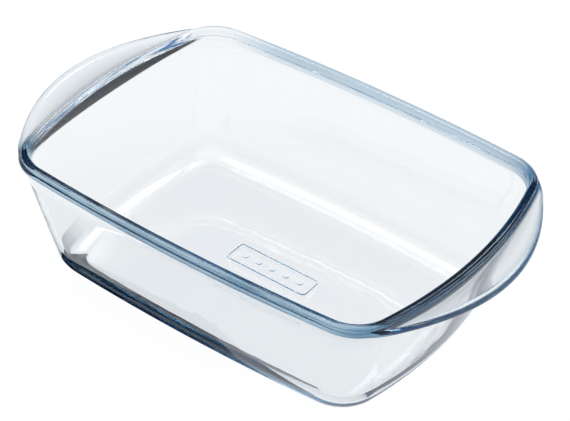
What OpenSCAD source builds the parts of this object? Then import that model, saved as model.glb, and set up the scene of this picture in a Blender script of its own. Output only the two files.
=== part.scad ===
// Clear glass oven dish, rectangular, with a tab handle at each short end.
// One pressed glass moulding: floor, drafted walls, rounded rim and both handles.
// Millimetres. The dish stands on its base at z = 0, long way along x.
// The glass is one closed surface. It is swept as a row of rings, one above
// another, and each ring is a rounded rectangle with slightly bowed sides.

/* [Overall] */
// Length of the rim, at the middle of the bowed short ends, without the handles
rim_l = 237; // [150:1:400]
// Width of the rim, at the middle of the bowed long sides
rim_w = 176.5; // [100:0.5:300]
// Height from the table to the top of the rim
height = 73.5; // [35:0.5:120]

/* [Outline] */
// Radius of the slow curve of each long side
long_side_r = 1120; // [600:10:4000]
// Radius of the slow curve of each short end
short_side_r = 257; // [150:1:1500]
// Corner radius of the outside wall
corner_r = 24.5; // [18:0.5:40]

/* [Walls and floor] */
// Wall thickness just under the rim
wall_t = 4.1; // [3:0.1:6]
// Lean of the outside wall from upright, in degrees
draft_out = 13.8; // [4:0.1:20]
// Lean of the inside wall from upright, in degrees
draft_in = 14.4; // [4:0.1:20]
// Thickness of the floor
floor_t = 5; // [3.5:0.1:8]
// Radius where the outside wall turns under into the base
base_r = 15; // [6:0.5:18]
// Radius where the inside wall turns into the floor
fillet_r = 15.5; // [6:0.5:17]

/* [Rim] */
// Thickness of the rim through its top bead
bead_t = 4.7; // [3.6:0.1:7]
// How far the top bead stands above the handles
bead_h = 1.8; // [1.2:0.1:3]
// How far the outer band of the rim stands out past the bead
band_out = 1; // [0.6:0.1:2]
// Height of the outer band, which is also the thickness of a handle's edge
band_h = 4; // [3:0.1:8]
// How far the band stands out past the wall under it
band_step = 1.9; // [1.2:0.1:3]
// Radius of the inner edge of the bead
bead_r = 2.2; // [1:0.1:2.4]

/* [Handles] */
// How far each handle reaches out from the band at its middle
handle_reach = 16.5; // [8:0.5:30]
// Span of a handle from tip to tip
handle_span = 151; // [80:1:170]
// Fullness of the handle's curve, 1 is a plain bow and more is slimmer tips
handle_power = 1.12; // [1:0.02:2]
// Extra thickness of a handle at its root
handle_root = 0.6; // [0.3:0.1:3]

/* [Floor mark] */
// Length of the plain raised frame on the floor
mark_l = 50; // [20:1:100]
// Width of the frame
mark_w = 15; // [8:0.5:40]
// Line width of the frame
mark_line = 1; // [0.6:0.1:2]
// Height of the mark above the floor
mark_h = 0.5; // [0.3:0.1:1]
// Corner radius of the frame
mark_r = 2.5; // [1.5:0.1:4]
// Number of plain studs in the frame
stud_n = 5; // [1:1:9]
// Diameter of a stud
stud_d = 4; // [1.5:0.1:6]
// Distance from stud to stud
stud_pitch = 8.5; // [4:0.1:15]

/* [Smoothness] */
// Steps in a quarter of a corner-to-middle run of a short end
n_short = 7; // [4:1:16]
// Steps round one corner
n_corner = 8; // [4:1:16]
// Steps along half a long side
n_long = 4; // [3:1:16]
// Steps in the turn from wall to base, and from wall to floor
n_turn = 7; // [4:1:12]

/* [Hidden] */

glass = [0.72, 0.84, 0.92, 0.55];
fn_small = 24;

// Heights that follow from the sizes above.
step_z = height - bead_h;          // top face of the handles
band_z = step_z - band_h;          // under side of the band at its outer edge
root_z = band_z - handle_root;     // where the outside wall starts
in_z = step_z - band_h - 1;        // where the inside wall starts
wall_in = band_step + wall_t;      // inset of the inside wall there
bead_in = band_out + bead_t;       // inset of the bead's inner face

// Outside wall and its turn into the base.
out_end_z = base_r * (1 - sin(draft_out));
out_end_in = band_step + (root_z - out_end_z) * tan(draft_out);
out_centre_in = out_end_in + base_r * cos(draft_out);

// Inside wall and its turn into the floor.
in_centre_z = floor_t + fillet_r;
in_end_z = in_centre_z - fillet_r * sin(draft_in);
in_end_in = wall_in + (in_z - in_end_z) * tan(draft_in);
in_centre_in = in_end_in + fillet_r * cos(draft_in);

// A ring is [inset from the band, height, share of the handle's reach].
ring_turn_in = [for (k = [0:n_turn])
    let (a = 90 - (90 - draft_in) * k / n_turn)
    [in_centre_in - fillet_r * cos(a), in_centre_z - fillet_r * sin(a), 0]];
ring_wall_in = [for (k = [1:2])
    [in_end_in + (wall_in - in_end_in) * k / 2, in_end_z + (in_z - in_end_z) * k / 2, 0]];
ring_bead_in = [for (k = [0:3])
    [bead_in - bead_r + bead_r * cos(30 * k), height - bead_r + bead_r * sin(30 * k), 0]];
ring_bead_out = [for (k = [0:3])
    [band_out + bead_h * (1 - sin(30 * k)), height - bead_h * (1 - cos(30 * k)), 0]];
ring_band = [
    [band_out * 0.85, step_z - 0.2, 0.05],
    [band_out * 0.75, step_z - band_h * 0.1, 1],
    [band_out * 0.25, step_z - band_h * 0.24, 1],
    [0, step_z - band_h * 0.45, 1],
    [0, step_z - band_h * 0.6, 1],
    [band_step * 0.16, band_z + band_h * 0.18, 1],
    [band_step * 0.5, band_z, 1],
    [band_step * 0.85, band_z - handle_root * 0.5, 0.06]];
ring_wall_out = [for (k = [0:2])
    [band_step + (out_end_in - band_step) * k / 2, root_z + (out_end_z - root_z) * k / 2, 0]];
ring_turn_out = [for (k = [1:n_turn])
    let (a = draft_out + (90 - draft_out) * k / n_turn)
    [out_centre_in - base_r * cos(a), base_r * (1 - sin(a)), 0]];
rings = concat(ring_turn_in, ring_wall_in, ring_bead_in, ring_bead_out, ring_band,
    ring_wall_out, ring_turn_out);

// How far the outside wall leans in at a height, measured from the band's foot.
function lean(z) = z < root_z ? (root_z - z) * tan(draft_out) : 0;
// Corner radius of a ring: the outside wall keeps corner_r, and all else runs parallel to it.
function ring_r(i, z) = max(corner_r - (i - lean(z)), 3);

// Centres of the slow curves of a long side and a short end.
long_c = [0, rim_w / 2 - long_side_r];
short_c = [rim_l / 2 - short_side_r, 0];
centre_gap = norm(long_c - short_c);
gap_dir = (short_c - long_c) / centre_gap;

// Centre of the corner that touches both slow curves from inside.
function corner_c(i, r) =
    let (p = long_side_r - i - r, q = short_side_r - i - r)
    let (a = (p * p - q * q + centre_gap * centre_gap) / (2 * centre_gap))
    let (h = sqrt(max(p * p - a * a, 0)))
    long_c + a * gap_dir + h * [gap_dir[1], -gap_dir[0]];

function polar(c, r, t) = [c[0] + r * cos(t), c[1] + r * sin(t)];

// A quarter of a ring, from the middle of a short end to the middle of a long side.
function quarter(i, r) =
    let (c = corner_c(i, r))
    let (ts = atan2(c[1] - short_c[1], c[0] - short_c[0]))
    let (tl = atan2(c[1] - long_c[1], c[0] - long_c[0]))
    concat(
        [for (k = [0:n_short - 1]) polar(short_c, short_side_r - i, ts * k / n_short)],
        [for (k = [0:n_corner - 1]) polar(c, r, ts + (tl - ts) * k / n_corner)],
        [for (k = [0:n_long]) polar(long_c, long_side_r - i, tl + (90 - tl) * k / n_long)]);

// The outward shift that makes a handle, at a distance y from the long axis.
function reach(y) = handle_reach * pow(max(1 - pow(2 * y / handle_span, 2), 0), handle_power);

function ring_points(ring) =
    let (q = quarter(ring[0], ring_r(ring[0], ring[1])), m = len(q) - 1)
    let (flat = concat(
        q,
        [for (k = [1:m]) [-q[m - k][0], q[m - k][1]]],
        [for (k = [1:m]) [-q[k][0], -q[k][1]]],
        [for (k = [1:m - 1]) [q[m - k][0], -q[m - k][1]]]))
    [for (p = flat) [p[0] + sign(p[0]) * reach(p[1]) * ring[2], p[1], ring[1]]];

// The glass as one closed skin.
module sweep() {
    n = 4 * (n_short + n_corner + n_long);
    last = len(rings) - 1;
    points = [for (ring = rings) each ring_points(ring)];
    skin = [for (k = [0:last - 1]) for (j = [0:n - 1])
        let (a = k * n + j, b = k * n + (j + 1) % n)
        each [[a, b, a + n], [b, b + n, a + n]]];
    floor_face = [[for (j = [n - 1:-1:0]) j]];
    base_face = [[for (j = [0:n - 1]) last * n + j]];
    polyhedron(points = points, faces = concat(floor_face, skin, base_face), convexity = 6);
}

// A bar with rounded ends of its four upright corners.
module rounded_bar(l, w, r, h) {
    linear_extrude(h)
        union() {
            square([l - 2 * r, w], center = true);
            square([l, w - 2 * r], center = true);
            for (x = [-1, 1]) for (y = [-1, 1])
                translate([x * (l / 2 - r), y * (w / 2 - r)]) circle(r = r, $fn = fn_small);
        }
}

// Plain raised frame with a row of round studs, in the middle of the floor.
module floor_mark() {
    sink = floor_t / 4;
    translate([0, 0, floor_t - sink]) {
        difference() {
            rounded_bar(mark_l, mark_w, mark_r, sink + mark_h);
            translate([0, 0, -1])
                rounded_bar(mark_l - 2 * mark_line, mark_w - 2 * mark_line,
                    mark_r - mark_line, sink + mark_h + 2);
        }
        for (k = [0:stud_n - 1])
            translate([(k - (stud_n - 1) / 2) * stud_pitch, 0, 0])
                cylinder(d = stud_d, h = sink + mark_h, $fn = fn_small);
    }
}

module dish() {
    color(glass)
        union() {
            sweep();
            floor_mark();
        }
}

dish();
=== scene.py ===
# %% [markdown]
# # A clear glass oven dish
# An oven dish of this kind is one piece of pressed glass. A gob of hot glass
# drops into an iron mould, a plunger pushes it up the walls, and the rim and
# both handles fill last. There is nothing to assemble, so the lesson is about
# two things: one smooth closed skin, and a studio that makes glass readable.

# %% The fixed frame
import math

import bmesh
import bpy
from mathutils import Matrix, Vector
from mathutils.geometry import delaunay_2d_cdt


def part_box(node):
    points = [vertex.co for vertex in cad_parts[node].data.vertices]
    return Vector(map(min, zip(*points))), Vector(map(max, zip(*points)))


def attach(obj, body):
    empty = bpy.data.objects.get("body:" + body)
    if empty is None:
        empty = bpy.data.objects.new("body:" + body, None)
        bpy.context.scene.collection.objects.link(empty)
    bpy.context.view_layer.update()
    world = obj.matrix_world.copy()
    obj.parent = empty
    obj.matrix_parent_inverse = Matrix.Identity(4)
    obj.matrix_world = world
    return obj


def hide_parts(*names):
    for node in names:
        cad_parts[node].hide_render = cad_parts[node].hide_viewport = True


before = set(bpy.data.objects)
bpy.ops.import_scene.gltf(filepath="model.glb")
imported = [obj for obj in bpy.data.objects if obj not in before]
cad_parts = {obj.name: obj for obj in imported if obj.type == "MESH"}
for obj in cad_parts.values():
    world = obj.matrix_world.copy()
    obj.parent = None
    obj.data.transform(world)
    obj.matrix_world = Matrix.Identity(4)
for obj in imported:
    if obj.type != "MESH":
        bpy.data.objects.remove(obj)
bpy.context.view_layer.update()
low, high = (Vector(corner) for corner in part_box("dish"))
print("dish size, mm:", [round(1000 * (b - a), 1) for a, b in zip(low, high)])

# %% [markdown]
# ## The sizes of the moulding
# All the sizes are in metres. The rim and the height come from the frame, so
# the skin always fills the same space. The rest are what a mould maker would
# write down: wall and floor thickness, how far the walls lean so that the
# dish leaves the mould, and the radii of the turns.

# %% Sizes
MM = 0.001
HANDLE_REACH = 16.5 * MM
HANDLE_SPAN = 151 * MM
HANDLE_POWER = 1.12
RIM_L = (high.x - low.x) - 2 * HANDLE_REACH
RIM_W = high.y - low.y
HEIGHT = high.z
LONG_SIDE_R, SHORT_SIDE_R, CORNER_R = 1120 * MM, 257 * MM, 24.5 * MM
WALL_T, FLOOR_T = 4.1 * MM, 5 * MM
LEAN_OUT, LEAN_IN = math.radians(13.8), math.radians(14.4)
BASE_R, FILLET_R = 15 * MM, 15.5 * MM
BEAD_T, BEAD_H, BEAD_R = 4.7 * MM, 1.8 * MM, 2.2 * MM
BAND_OUT, BAND_H, BAND_STEP = 1 * MM, 4 * MM, 1.9 * MM
HANDLE_ROOT = 0.6 * MM
print("rim, mm:", round(RIM_L / MM, 1), "by", round(RIM_W / MM, 1))

# %% [markdown]
# ## The profile
# Cut the dish across a wall and the cut shows one closed line: along the
# inside floor, up the wall, over the rim, down the outside and back under
# the base. Each point of that line becomes one ring of the skin, so a ring
# is written as an inset from the rim's outer face, a height, and a share of
# the handle's reach. Only the rings at the edge of a handle take that reach.
# One extra flat ring lies inside the floor turn and one inside the base
# turn, so that smooth shading ends there and the flat parts stay flat.

# %% Profile rings
STEP_Z = HEIGHT - BEAD_H
BAND_Z = STEP_Z - BAND_H
ROOT_Z = BAND_Z - HANDLE_ROOT
IN_Z = STEP_Z - BAND_H - 1 * MM
WALL_IN = BAND_STEP + WALL_T
BEAD_IN = BAND_OUT + BEAD_T
TURN_STEPS, WALL_STEPS, BEAD_STEPS = 20, 6, 8
FLAT_RING = 1 * MM


def turn(centre, radius, start, steps):
    """Rings of a turn from wall to floor, the angle measured from level to straight down."""
    for k in range(steps + 1):
        a = start + (math.pi / 2 - start) * k / steps
        yield (centre[0] - radius * math.cos(a), centre[1] - radius * math.sin(a), 0.0)


def wall_end(radius, lift, top_in, top_z, lean):
    """Where a leaning wall meets its turn, and the centre of the turn."""
    centre_z = lift + radius
    end_z = centre_z - radius * math.sin(lean)
    end_in = top_in + (top_z - end_z) * math.tan(lean)
    return (end_in, end_z), (end_in + radius * math.cos(lean), centre_z)


def straight(a, b, steps):
    """Rings between two points of the profile, without the two ends."""
    return [tuple(p + (q - p) * k / steps for p, q in zip(a, b)) + (0.0,) for k in range(1, steps)]


def smooth(points, steps):
    """A smooth line through the points, with more rings between them."""
    out = []
    for i in range(len(points) - 1):
        p = [Vector(points[min(max(i + d, 0), len(points) - 1)]) for d in (-1, 0, 1, 2)]
        for k in range(steps):
            t = k / steps
            out.append(tuple(0.5 * (2 * p[1] + (p[2] - p[0]) * t
                                    + (2 * p[0] - 5 * p[1] + 4 * p[2] - p[3]) * t * t
                                    + (3 * p[1] - p[0] - 3 * p[2] + p[3]) * t ** 3)))
    return out + [tuple(points[-1])]


in_end, in_centre = wall_end(FILLET_R, FLOOR_T, WALL_IN, IN_Z, LEAN_IN)
out_end, out_centre = wall_end(BASE_R, 0.0, BAND_STEP, ROOT_Z, LEAN_OUT)
quarter_turn = [math.pi / 2 * k / BEAD_STEPS for k in range(BEAD_STEPS + 1)]
bead = [(WALL_IN, IN_Z, 0.0), (WALL_IN - 0.2 * MM, IN_Z + 2.2 * MM, 0.0)]
bead += [(BEAD_IN - BEAD_R + BEAD_R * math.cos(a), HEIGHT - BEAD_R + BEAD_R * math.sin(a), 0.0)
         for a in quarter_turn]
bead += [(BAND_OUT + BEAD_H * (1 - math.sin(a)), HEIGHT - BEAD_H * (1 - math.cos(a)), 0.0)
         for a in quarter_turn]
band = smooth([
    (BAND_OUT, STEP_Z, 0.0),
    (BAND_OUT * 0.85, STEP_Z - 0.2 * MM, 0.05),
    (BAND_OUT * 0.75, STEP_Z - BAND_H * 0.1, 1.0),
    (BAND_OUT * 0.25, STEP_Z - BAND_H * 0.24, 1.0),
    (0.0, STEP_Z - BAND_H * 0.45, 1.0),
    (0.0, STEP_Z - BAND_H * 0.6, 1.0),
    (BAND_STEP * 0.16, BAND_Z + BAND_H * 0.18, 1.0),
    (BAND_STEP * 0.5, BAND_Z, 1.0),
    (BAND_STEP * 0.85, BAND_Z - HANDLE_ROOT * 0.5, 0.06),
    (BAND_STEP, ROOT_Z, 0.0)], 4)
band = [(i, z, min(max(w, 0.0), 1.0)) for i, z, w in band]
rings = ([(in_centre[0] + FLAT_RING, FLOOR_T, 0.0)]
         + list(turn(in_centre, FILLET_R, LEAN_IN, TURN_STEPS))[::-1]
         + straight(in_end, (WALL_IN, IN_Z), WALL_STEPS)
         + bead + band[1:]
         + straight((BAND_STEP, ROOT_Z), out_end, WALL_STEPS)
         + list(turn(out_centre, BASE_R, LEAN_OUT, TURN_STEPS))
         + [(out_centre[0] + FLAT_RING, 0.0, 0.0)])
run = [0.0]
for a, b in zip(rings, rings[1:]):
    run.append(run[-1] + math.hypot(b[0] - a[0], b[1] - a[1]))


def run_at(inset, z):
    """The distance along the profile of the ring nearest to a point of it."""
    return min(zip(rings, run), key=lambda item: math.hypot(item[0][0] - inset, item[0][1] - z))[1]


print("rings:", len(rings), "profile, mm:", round(run[-1] / MM, 1))

# %% [markdown]
# ## The plan
# Seen from above, each ring is made of eight arcs that run into each other:
# four slow curves for the bowed sides and four tight ones for the corners.
# The corner arc touches both slow arcs from inside, which gives its centre.

# %% Ring outline
SHORT_STEPS, CORNER_STEPS, LONG_STEPS = 26, 16, 16
LEAST_CORNER_R = 3 * MM
long_c = Vector((0, RIM_W / 2 - LONG_SIDE_R))
short_c = Vector((RIM_L / 2 - SHORT_SIDE_R, 0))


def corner_centre(inset, radius):
    p, q = LONG_SIDE_R - inset - radius, SHORT_SIDE_R - inset - radius
    gap = short_c - long_c
    along = (p * p - q * q + gap.length_squared) / (2 * gap.length)
    side = math.sqrt(max(p * p - along * along, 0))
    way = gap.normalized()
    return long_c + along * way + side * Vector((way.y, -way.x))


def reach(y):
    """How far a handle stands out at a distance y from the long middle line."""
    return HANDLE_REACH * max(1 - (2 * y / HANDLE_SPAN) ** 2, 0) ** HANDLE_POWER


def outline(inset, z, share):
    """The points of one ring, anticlockwise seen from above."""
    lean = max(ROOT_Z - z, 0) * math.tan(LEAN_OUT)
    radius = max(CORNER_R - (inset - lean), LEAST_CORNER_R)
    c = corner_centre(inset, radius)
    t_short = math.atan2(*(c - short_c).yx)
    t_long = math.atan2(*(c - long_c).yx)
    arcs = ((short_c, SHORT_SIDE_R - inset, 0, t_short, SHORT_STEPS),
            (c, radius, t_short, t_long, CORNER_STEPS),
            (long_c, LONG_SIDE_R - inset, t_long, math.pi / 2, LONG_STEPS))
    quarter = [m + r * Vector((math.cos(a + (b - a) * k / n), math.sin(a + (b - a) * k / n)))
               for m, r, a, b, n in arcs for k in range(n)]
    quarter.append(Vector((0, RIM_W / 2 - inset)))
    last = len(quarter) - 1
    flat = (quarter + [Vector((-p.x, p.y)) for p in quarter[last - 1::-1]]
            + [Vector((-p.x, -p.y)) for p in quarter[1:]]
            + [Vector((p.x, -p.y)) for p in quarter[last - 1:0:-1]])
    return [Vector((p.x + math.copysign(reach(p.y) * share, p.x), p.y, z)) for p in flat]


print("points round a ring:", len(outline(*rings[0])))

# %% [markdown]
# ## The mark on the floor
# Most dishes carry a raised device in the middle of the floor. Here it is a
# plain frame with a row of round studs. A mould makes such a mark by being
# cut a little deeper, so it is part of the same skin: the flat floor gets
# holes of the right outline, and each hole is closed by a low rounded ridge
# or dome. A narrow flat collar goes round each of them, so that their smooth
# shading doesn't spread over the floor.

# %% Mark outlines
MARK_L, MARK_W, MARK_R, MARK_LINE, MARK_H = 50 * MM, 15 * MM, 2.5 * MM, 1 * MM, 0.5 * MM
STUD_N, STUD_R, STUD_PITCH = 5, 2 * MM, 8.5 * MM
STUD_STEPS, BAR_STEPS = 24, 8
TIGHTEST_R = 0.4 * MM


def bar_outline(inset):
    """A rounded bar, as the mark's frame is, at an inset from its outer edge."""
    r = max(MARK_R - inset, TIGHTEST_R)
    points = []
    for n, (sx, sy) in enumerate(((1, 1), (-1, 1), (-1, -1), (1, -1))):
        for k in range(BAR_STEPS + 1):
            a = math.pi / 2 * (n + k / BAR_STEPS)
            points.append((sx * (MARK_L / 2 - inset - r) + r * math.cos(a),
                           sy * (MARK_W / 2 - inset - r) + r * math.sin(a)))
    return points


def stud_outline(x, radius):
    angles = [math.tau * k / STUD_STEPS for k in range(STUD_STEPS)]
    return [(x + radius * math.cos(a), radius * math.sin(a)) for a in angles]


COLLAR = 0.15
ridge = [(-COLLAR, 0), (0, 0), (0.06, 0.3), (0.2, 0.72), (0.38, 0.97), (0.5, 1),
         (0.62, 0.97), (0.8, 0.72), (0.94, 0.3), (1, 0), (1 + COLLAR, 0)]
dome = [(1 + COLLAR, 0), (1, 0), (0.96, 0.3), (0.86, 0.66), (0.7, 0.9), (0.45, 1), (0.2, 1)]
stud_x = [(k - (STUD_N - 1) / 2) * STUD_PITCH for k in range(STUD_N)]
print("studs at, mm:", [round(x / MM, 1) for x in stud_x])

# %% [markdown]
# ## The skin
# One bmesh holds the whole skin. The rings are joined by four-sided faces,
# the base is one flat face, and the floor is filled round the mark.
# One closed skin matters for glass: light has to enter and leave it
# exactly once on each side, and a seam inside would show as a line.
# Three numbers are stored at each point of the rings for the finish to use:
# the distance along the profile, how far the point stands out as part of a
# handle, and how far the handle reaches at that place.

# %% Build the glass
def join(bm, loop_a, loop_b):
    """Four-sided faces between two loops of as many points."""
    n = len(loop_a)
    for j in range(n):
        k = (j + 1) % n
        bm.faces.new((loop_a[j], loop_b[j], loop_b[k], loop_a[k]))


def add_loop(bm, points):
    return [bm.verts.new(p) for p in points]


def fill_floor(bm, rim_loop, holes):
    """Fills the flat floor between its outer loop and the loops of the mark."""
    loops = [rim_loop] + holes
    verts = [v for loop in loops for v in loop]
    edges, start = [], 0
    for loop in loops:
        n = len(loop)
        edges += [(start + j, start + (j + 1) % n) for j in range(n)]
        start += n
    inside, weld = 1, 1e-9
    spots = [v.co.xy for v in verts]
    places, _, faces, origins, _, _ = delaunay_2d_cdt(spots, edges, [], inside, weld)
    index = {k: verts[origin[0]] for k, origin in enumerate(origins) if origin}
    for face in faces:
        mid = sum((places[k] for k in face), Vector((0, 0))) / 3
        if not in_mark(mid):
            bm.faces.new([index[k] for k in face])


def in_mark(p):
    """True on the frame's line or on a stud, which have faces of their own."""
    def in_bar(inset):
        r = max(MARK_R - inset, TIGHTEST_R)
        dx = max(abs(p.x) - (MARK_L / 2 - inset - r), 0)
        dy = max(abs(p.y) - (MARK_W / 2 - inset - r), 0)
        return math.hypot(dx, dy) < r
    on_line = in_bar(-COLLAR * MARK_LINE) and not in_bar((1 + COLLAR) * MARK_LINE)
    return on_line or any(math.hypot(p.x - x, p.y) < STUD_R * (1 + COLLAR) for x in stud_x)


bm = bmesh.new()
along = bm.verts.layers.float.new("profile_mm")
stand = bm.verts.layers.float.new("handle_mm")
handle_at = bm.verts.layers.float.new("root_mm")
loops = []
for ring, distance in zip(rings, run):
    loops.append(add_loop(bm, outline(*ring)))
    for v in loops[-1]:
        v[along] = distance / MM
        v[stand] = reach(v.co.y) * ring[2] / MM
        v[handle_at] = reach(v.co.y) / MM
for upper, lower in zip(loops, loops[1:]):
    join(bm, upper, lower)
bm.faces.new(loops[-1][::-1])

frame_loops = [add_loop(bm, [(x, y, FLOOR_T + MARK_H * h) for x, y in bar_outline(MARK_LINE * f)])
               for f, h in ridge]
for a, b in zip(frame_loops, frame_loops[1:]):
    join(bm, a, b)
holes = [frame_loops[0], frame_loops[-1]]
for x in stud_x:
    stud = [add_loop(bm, [(u, v, FLOOR_T + MARK_H * h) for u, v in stud_outline(x, STUD_R * f)])
            for f, h in dome]
    for a, b in zip(stud, stud[1:]):
        join(bm, a, b)
    bm.faces.new(stud[-1])
    holes.append(stud[0])
fill_floor(bm, loops[0], holes)
bmesh.ops.recalc_face_normals(bm, faces=bm.faces)
open_edges = sum(1 for e in bm.edges if len(e.link_faces) != 2)
mesh = bpy.data.meshes.new("glass_dish")
volume = bm.calc_volume()
bm.to_mesh(mesh)
bm.free()
mesh.polygons.foreach_set("use_smooth", [True] * len(mesh.polygons))
dish = bpy.data.objects.new("glass_dish", mesh)
bpy.context.scene.collection.objects.link(dish)
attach(dish, "root")
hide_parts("dish")
print("faces:", len(mesh.polygons), "open edges:", open_edges, "glass, cm3:", round(volume * 1e6, 1))

# %% [markdown]
# ## Shader maths in plain Python
# A finish is a small network of nodes. The class below wraps one output
# socket, so that an ordinary expression such as 1 - mask * 0.5 adds its own
# Math nodes. Anything else comes from one method that makes a node.

# %% A socket that can be used in sums
class Value:
    """One output socket of a node tree."""

    def __init__(self, tree, socket):
        self.tree, self.socket = tree, socket

    def node(self, kind, settings=None, inputs=None, output=0):
        """Any node: its type, its settings, and the values or links of its sockets."""
        made = self.tree.nodes.new(kind)
        for key, value in (settings or {}).items():
            setattr(made, key, value)
        for key, value in (inputs or {}).items():
            if isinstance(value, Value):
                self.tree.links.new(value.socket, made.inputs[key])
            else:
                made.inputs[key].default_value = value
        return Value(self.tree, made.outputs[output]) if made.outputs else made

    def maths(self, operation, *others):
        """A Math node on this value and the others."""
        return self.node("ShaderNodeMath", {"operation": operation}, dict(enumerate((self, *others))))

    def __add__(self, other): return self.maths("ADD", other)
    def __mul__(self, other): return self.maths("MULTIPLY", other)
    def __sub__(self, other): return self.maths("SUBTRACT", other)
    def __rsub__(self, other): return self.maths("MULTIPLY", -1.0).maths("ADD", other)
    __radd__, __rmul__ = __add__, __mul__

    def band(self, start, end):
        """Rises smoothly from 0 at start to 1 at end."""
        return self.node("ShaderNodeMapRange", {"interpolation_type": "SMOOTHSTEP"},
                         {"Value": self, "From Min": start, "From Max": end})

    def mix(self, colour_a, colour_b):
        """colour_a where this is 0, and colour_b where it is 1."""
        return self.node("ShaderNodeMix", {"data_type": "RGBA"},
                         {"Factor": self, 6: colour_a, 7: colour_b}, 2)


def new_tree(owner):
    """Empties a material's or a world's node tree and gives a first handle on it."""
    owner.use_nodes = True
    owner.node_tree.nodes.clear()
    return Value(owner.node_tree, None)


# %% [markdown]
# ## The glass
# Oven glass looks colourless through a wall and blue along it, because light
# that runs inside the rim has come through far more glass. So the inside
# absorbs a little red. That alone gives too little colour in a rim this
# thin, so the surface is painted as well. Bands of pale and deep blue along
# the rim are partly the blue that glass shows along its edge and partly
# painted light: they are deepest at the front and at the right end, paler at
# the back and nearly clear at the left end, as the light fell in one view.
# Under the handles a dark painted shade stands in for the shade their roots
# throw into the wall, and the foot at the front carries a dark painted shade
# too. All of it is laid on by place and doesn't follow the light, so the dish
# isn't even all round.
# A plunger leaves the surface very slightly wavy. That is a bump far too low
# to see as a dent, and it is what breaks up the straight lines in the rim.

# %% Glass finish
glass = bpy.data.materials.new("pressed_glass")
t = new_tree(glass)
place = t.node("ShaderNodeTexCoord", output=3)


def noise(vector, scale, detail, roughness):
    """Soft random clouds, the same at every run; a larger scale makes them smaller."""
    return t.node("ShaderNodeTexNoise", {}, {
        "Vector": vector, "Scale": scale, "Detail": detail, "Roughness": roughness})


wave = noise(place, 22.0, 2.0, 0.4)
drag = noise(place, 90.0, 3.0, 0.5)
surface = t.node("ShaderNodeBump", {}, {
    "Height": wave + drag * 0.12, "Strength": 0.12, "Distance": 0.002})
rub = noise(place, 60.0, 6.0, 0.7)
worn = rub.band(0.62, 0.8) * 0.03
split = t.node("ShaderNodeSeparateXYZ", {}, {0: place})
x, y = (Value(t.tree, split.socket.node.outputs[k]) for k in (0, 1))
profile = t.node("ShaderNodeAttribute", {"attribute_name": "profile_mm"}, output=2)
handle = t.node("ShaderNodeAttribute", {"attribute_name": "handle_mm"}, output=2)
root = t.node("ShaderNodeAttribute", {"attribute_name": "root_mm"}, output=2)


def between(value, start, end, soft):
    """1 from start to end, with a soft step outside each."""
    return value.band(start - soft, start) * (1 - value.band(end, end + soft))


CLEAR = (0.952, 0.957, 0.957, 1.0)
# Deep and pale blue: painted light along the rim, mixed by place.
DEEP_BLUE, PALE_BLUE = (0.04, 0.14, 0.28, 1.0), (0.28, 0.46, 0.60, 1.0)
# Two dark colours of painted shade: one under the handles, one on the front of the foot.
HANDLE_PAINTED_SHADE, FOOT_PAINTED_SHADE = (0.001, 0.0012, 0.0015, 1.0), (0.012, 0.03, 0.06, 1.0)
RIM_FROM, RIM_TO = run_at(WALL_IN, IN_Z) / MM, run_at(BAND_STEP, ROOT_Z) / MM
EDGE_FROM = run_at(BAND_OUT * 0.25, STEP_Z - BAND_H * 0.24) / MM
EDGE_TO = run_at(BAND_STEP * 0.5, BAND_Z) / MM
TURN_FROM = run_at(*out_end) / MM
rim = between(profile, RIM_FROM, RIM_TO, 0.8)
edge = between(profile, EDGE_FROM, EDGE_TO, 0.4)
plate = handle.band(0.4, 2.5) * (1 - edge)
along_rim = t.node("ShaderNodeCombineXYZ", {}, {0: profile * 1.1, 1: x * 9.0, 2: y * 9.0})
lines = noise(along_rim, 1.0, 2.0, 0.55)
cloud = noise(place, 22.0, 2.0, 0.5)
# Painted light by place: the rim's blue is paler at the back, deeper at the right end, and cleared
# over most of the left end and partly at the back.
painted_paler_back = y.band(-0.05, 0.06) * (1 - x.band(0.06, 0.1))
right_end = x.band(0.09, 0.11)
pale = lines.band(0.36, 0.62) * 0.6 + cloud.band(0.38, 0.62) * 0.4 + painted_paler_back * 0.6 - right_end * 0.4
blue = pale.mix(DEEP_BLUE, PALE_BLUE)
clear_end = (x * -1.0).band(0.055, 0.1) * y.band(-0.072, -0.05) * 0.93
clear_back = y.band(0.0, 0.07) * (1 - x.band(0.08, 0.105)) * 0.4
colour_and_painted_light = (rim * (1 - plate) * (1 - clear_end) * (1 - clear_back)).mix(CLEAR, blue)
# Painted shade: a dark band on the outer wall just below the rim band under each handle, longer where
# the handle reaches further.
handle_shade_mask = profile.band(RIM_TO - 1.0, RIM_TO) * (1 - (profile - root * 0.35).band(RIM_TO, RIM_TO + 1.0))
colour_and_painted_light = (handle_shade_mask * root.band(0.3, 3.0)).mix(colour_and_painted_light, HANDLE_PAINTED_SHADE)
# Painted shade: a dark band round the foot's turn at the front, fading out towards the right.
foot_shade_side = (y * -1.0).band(0.03, 0.06) * (1 - x.band(0.0, 0.075))
foot_shade_mask = between(profile, TURN_FROM + 1.0, TURN_FROM + 9.0, 2.0) * foot_shade_side
colour_and_painted_light = foot_shade_mask.mix(colour_and_painted_light, FOOT_PAINTED_SHADE)
grooves = surface.node("ShaderNodeBump", {}, {
    "Height": lines * rim, "Normal": surface, "Strength": 0.25, "Distance": 0.0006})
body = t.node("ShaderNodeBsdfPrincipled", {}, {
    "Base Color": colour_and_painted_light, "Roughness": worn, "IOR": 1.474,
    "Transmission Weight": 1.0, "Normal": grooves})
depth = t.node("ShaderNodeVolumeAbsorption", {}, {"Color": (0.25, 0.475, 0.60, 1.0), "Density": 15.0})
t.node("ShaderNodeOutputMaterial", {}, {"Surface": body, "Volume": depth})
mesh.materials.append(glass)
print("glass nodes:", len(glass.node_tree.nodes))
print("rim from", round(RIM_FROM, 1), "to", round(RIM_TO, 1), "mm along the profile")

# %% [markdown]
# ## The table
# The dish stands on a plain pale table that glows, as the light tables used
# for glass do. Nearly all its brightness is its own glow and little of it is
# light thrown back, so the dish leaves hardly any shadow on it.

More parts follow.
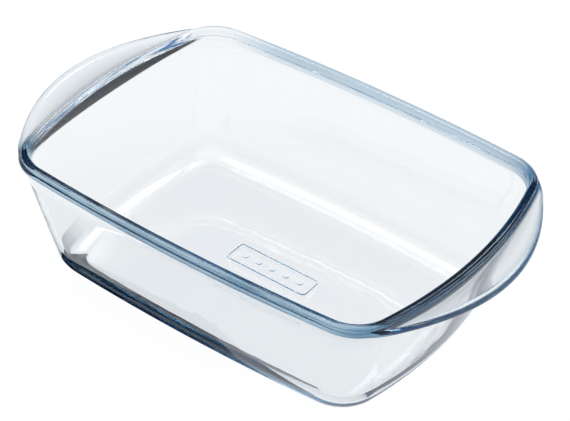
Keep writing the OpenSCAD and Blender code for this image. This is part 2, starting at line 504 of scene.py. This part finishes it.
# %% Table
TABLE_HALF, TABLE_DROP = 12.0, 0.2 * MM
SQUARE = ((-1, -1), (1, -1), (1, 1), (-1, 1))
table_mesh = bpy.data.meshes.new("table_top")
table_mesh.from_pydata([(u * TABLE_HALF, v * TABLE_HALF, -TABLE_DROP) for u, v in SQUARE],
                       [], [(0, 1, 2, 3)])
table_top = bpy.data.objects.new("table_top", table_mesh)
bpy.context.scene.collection.objects.link(table_top)
pale = bpy.data.materials.new("pale_table")
t = new_tree(pale)
glow = t.node("ShaderNodeBsdfPrincipled", {}, {
    "Base Color": (0.07, 0.07, 0.07, 1.0), "Roughness": 0.9, "Specular IOR Level": 0.0,
    "Emission Color": (1.0, 1.0, 1.0, 1.0), "Emission Strength": 0.955})
t.node("ShaderNodeOutputMaterial", {}, {"Surface": glow})
table_mesh.materials.append(pale)
print("table, m:", 2 * TABLE_HALF, "square")

# %% [markdown]
# ## A dark card of painted shade
# The foot of the glass mirrors and bends whatever lies under its front edge. A
# dark card there is painted shade: it stands in for the shade under the
# dish's front edge, and together with the painted shade on the foot it draws
# the foot as a dark band. The card lies just above the table, from the front
# edge of the base outwards. It is narrow at the left and tapered towards the
# right, so that the band fades out. It throws no shadow and shows only in the
# glass.

# %% Dark card
CARD_W, CARD_UNDER, CARD_DROP = 23 * MM, 1 * MM, 0.1 * MM
CARD_FRONT, CARD_END, CARD_POINT, CARD_TAPER = -46 * MM, 70 * MM, 75 * MM, 70 * MM
CARD_START, CARD_GROWTH = 0.25, 0.1
# The card is a sheet of painted shade under the front edge of the dish.
foot = outline(out_centre[0], 0.0, 0.0)
left_and_front = foot[len(foot) // 4 * 2:]
card_points = [p for p in left_and_front if p.y < CARD_FRONT and p.x < CARD_END]
drop = Vector((0, 0, CARD_DROP))
card_verts, card_faces = [], []
for k, p in enumerate(card_points):
    away = Vector((p.x * 0.62, p.y, 0)).normalized()
    width = CARD_W * min(1.0, (CARD_POINT - p.x) / CARD_TAPER, CARD_START + CARD_GROWTH * k)
    card_verts += [p - away * CARD_UNDER - drop, p + away * width - drop]
for k in range(len(card_points) - 1):
    card_faces.append((2 * k, 2 * k + 1, 2 * k + 3, 2 * k + 2))
card_mesh = bpy.data.meshes.new("painted_shadow_card")
card_mesh.from_pydata(card_verts, [], card_faces)
card = bpy.data.objects.new("painted_shadow_card", card_mesh)
bpy.context.scene.collection.objects.link(card)
card.visible_camera = False
card.visible_shadow = False
card.visible_diffuse = False
shadow_black = bpy.data.materials.new("painted_shadow_black")
t = new_tree(shadow_black)
paint = t.node("ShaderNodeBsdfPrincipled", {}, {
    "Base Color": (0.015, 0.025, 0.045, 1.0), "Roughness": 0.9, "Specular IOR Level": 0.0})
t.node("ShaderNodeOutputMaterial", {}, {"Surface": paint})
card_mesh.materials.append(shadow_black)
print("card points:", len(card_points))

# %% [markdown]
# ## The studio
# Glass shows only what stands round it. A bright surround makes it vanish,
# and darker panels draw its edges. Here the surround is white low down and a
# little brighter overhead, with a belt of blue panels at middle height that
# is bluest at the left. Two small round softboxes, one overhead to the left
# and one high at the back, put white streaks on the glass. All of it is
# worked out in the world's own nodes, so no lamp or panel has to be placed.
# The camera itself always sees plain white, and only what the glass bends or
# mirrors comes from the panels and softboxes.

# %% Surround
world = bpy.data.worlds.new("studio")
bpy.context.scene.world = world
t = new_tree(world)
way = t.node("ShaderNodeTexCoord", output=0)
split = way.node("ShaderNodeSeparateXYZ", {}, {0: way})
up = Value(t.tree, split.socket.node.outputs[2])


def facing(azimuth):
    """1 straight towards an azimuth round the table, and -1 away from it."""
    a = math.radians(azimuth)
    return t.node("ShaderNodeVectorMath", {"operation": "DOT_PRODUCT"},
                  {0: way, 1: (math.sin(a), math.cos(a), 0.0)}, 1)


def softbox(direction, size, soft=3):
    """A round softbox towards a direction; size is its half angle in degrees."""
    d = Vector(direction).normalized()
    dot = t.node("ShaderNodeVectorMath", {"operation": "DOT_PRODUCT"}, {0: way, 1: tuple(d)}, 1)
    return dot.band(math.cos(math.radians(size + soft)), math.cos(math.radians(size - soft)))


WHITE, OVERHEAD, SOFTBOX = (1.0, 1.0, 1.0, 1.0), (1.4, 1.41, 1.43, 1.0), (6.0, 6.0, 6.1, 1.0)
FRONT_PANEL, BACK_PANEL = (0.11, 0.24, 0.40, 1.0), (0.11, 0.22, 0.36, 1.0)
LEFT_PANEL = (0.05, 0.20, 0.46, 1.0)
overhead = up.band(0.78, 0.9)
panel = up.band(0.12, 0.22) * (1 - up.band(0.62, 0.74))
from_back = facing(0).band(-0.2, 0.6)
from_left = facing(-90).band(0.0, 0.7)
panel_colour = from_left.mix(from_back.mix(FRONT_PANEL, BACK_PANEL), LEFT_PANEL)
bright = overhead.mix(panel.mix(WHITE, panel_colour), OVERHEAD)
for direction in ((-0.43, -0.05, 0.9), (-0.02, 0.66, 0.75)):
    bright = softbox(direction, 9).mix(bright, SOFTBOX)
seen = t.node("ShaderNodeLightPath", output=0)
light = t.node("ShaderNodeBackground", {}, {"Color": seen.mix(bright, WHITE), "Strength": 1.0})
t.node("ShaderNodeOutputWorld", {}, {"Surface": light})
world.cycles.sampling_method = "MANUAL"
world.cycles.sample_map_resolution = 256
print("surround nodes:", len(world.node_tree.nodes))

# %% [markdown]
# ## The camera
# A long lens from the front right, looking down into the dish. It stands at
# a distance from the point it aims at, in a direction given by an azimuth
# round the table and an elevation, and is rolled a little. Those four
# numbers are easier to read and change than a matrix, which is built from
# them.

# %% Camera
AIM = Vector((0.02443, -0.02985, HEIGHT))
DISTANCE, AZIMUTH, ELEVATION, ROLL = 0.9974, 33.11, 37.763, 4.44
az, el, roll = (math.radians(v) for v in (AZIMUTH, ELEVATION, ROLL))
back = Vector((math.sin(az) * math.cos(el), -math.cos(az) * math.cos(el), math.sin(el)))
side = Vector((math.cos(az), math.sin(az), 0))
head = back.cross(side)
right = math.cos(roll) * side + math.sin(roll) * head
top = math.cos(roll) * head - math.sin(roll) * side
SENSOR_W = 36
LENS_IN_PICTURE_WIDTHS = 2073.2 / 570
lens = bpy.data.cameras.new("camera")
lens.sensor_width = SENSOR_W
lens.lens = LENS_IN_PICTURE_WIDTHS * SENSOR_W
lens.clip_end = 100
camera = bpy.data.objects.new("camera", lens)
turned = Matrix((right, top, back)).transposed().to_4x4()
camera.matrix_world = Matrix.Translation(AIM + back * DISTANCE) @ turned
bpy.context.scene.collection.objects.link(camera)
bpy.context.scene.camera = camera
print("lens, mm:", round(lens.lens, 1))

# %% [markdown]
# ## The picture
# Light that runs inside a rim is mirrored many times before it gets out. A
# path that is cut off early comes back black and draws grey lines in the
# glass, so the paths through glass may be long. The plain view transform
# keeps the white of the table white.

# %% Picture settings
picture = bpy.context.scene
picture.view_settings.view_transform = "Standard"
picture.view_settings.look = "None"
GLASS_BOUNCES = 64
picture.cycles.max_bounces = GLASS_BOUNCES
picture.cycles.transmission_bounces = GLASS_BOUNCES
picture.cycles.glossy_bounces = GLASS_BOUNCES
picture.cycles.diffuse_bounces = 4
print("bounces:", GLASS_BOUNCES)

# %% [markdown]
# The scene is brought up to date at the end.

bpy.context.view_layer.update()
